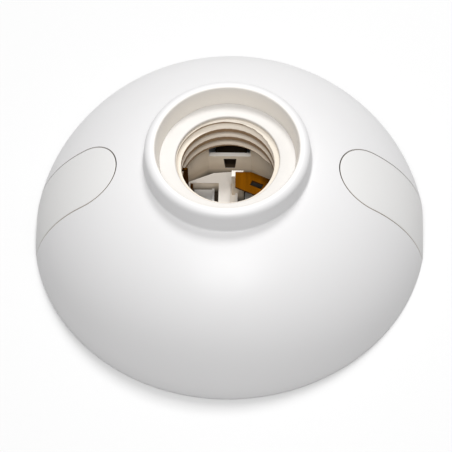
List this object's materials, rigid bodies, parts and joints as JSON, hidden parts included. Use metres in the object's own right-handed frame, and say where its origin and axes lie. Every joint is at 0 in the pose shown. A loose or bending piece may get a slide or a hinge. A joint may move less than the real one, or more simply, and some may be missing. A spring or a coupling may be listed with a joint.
{
  "type": "batten lampholder",
  "caption": "Dome-shaped surface lampholder with a collared screw socket, brass contacts, clamp terminals and slide-on covers over its fixing screws.",
  "frame": {"origin": "centre of the back rim, on the surface that the holder is fixed to", "axes": "+Z along the lamp axis, out of the socket; X through the two fixing holes"},
  "size_m": [0.1034, 0.1048, 0.0398],
  "materials": {
    "white_plastic": "gloss",
    "cover_plastic": "satin",
    "cream_plastic": "satin",
    "brass": "satin",
    "steel": "zinc plated"
  },
  "bodies": {
    "holder": {"dome_body": "white_plastic", "socket_insert": "cream_plastic", "terminal_block": "cream_plastic", "centre_contact": "brass", "side_contact": "brass", "block_screws": "steel"},
    "left_cover": {"left_screw_cover": "cover_plastic"},
    "left_screw": {"left_terminal_screw": "steel"},
    "left_clamp": {"left_clamp_plate": "steel"},
    "right_cover": {"right_screw_cover": "cover_plastic"},
    "right_screw": {"right_terminal_screw": "steel"},
    "right_clamp": {"right_clamp_plate": "steel"}
  },
  "joints": [
    {"name": "left_cover_slide", "type": "slide", "parent": "holder", "child": "left_cover", "axis": [-1, 0, 0], "range_m": [0, 0.03]},
    {"name": "left_screw_turn", "type": "hinge", "parent": "holder", "child": "left_screw", "pos_m": [-0.0068, 0, 0.004], "axis": [0, 0, -1], "range_deg": [0, 1080]},
    {"name": "left_clamp_lift", "type": "slide", "parent": "holder", "child": "left_clamp", "axis": [0, 0, 1], "range_m": [0, 0.0018]},
    {"name": "right_cover_slide", "type": "slide", "parent": "holder", "child": "right_cover", "axis": [1, 0, 0], "range_m": [0, 0.03]},
    {"name": "right_screw_turn", "type": "hinge", "parent": "holder", "child": "right_screw", "pos_m": [0.0068, 0, 0.004], "axis": [0, 0, -1], "range_deg": [0, 1080]},
    {"name": "right_clamp_lift", "type": "slide", "parent": "holder", "child": "right_clamp", "axis": [0, 0, 1], "range_m": [0, 0.0018]}
  ],
  "couplings": [
    {"joint": "left_screw_turn", "follows": "left_clamp_lift", "rad_per_m": 10472},
    {"joint": "right_screw_turn", "follows": "right_clamp_lift", "rad_per_m": 10472}
  ]
}
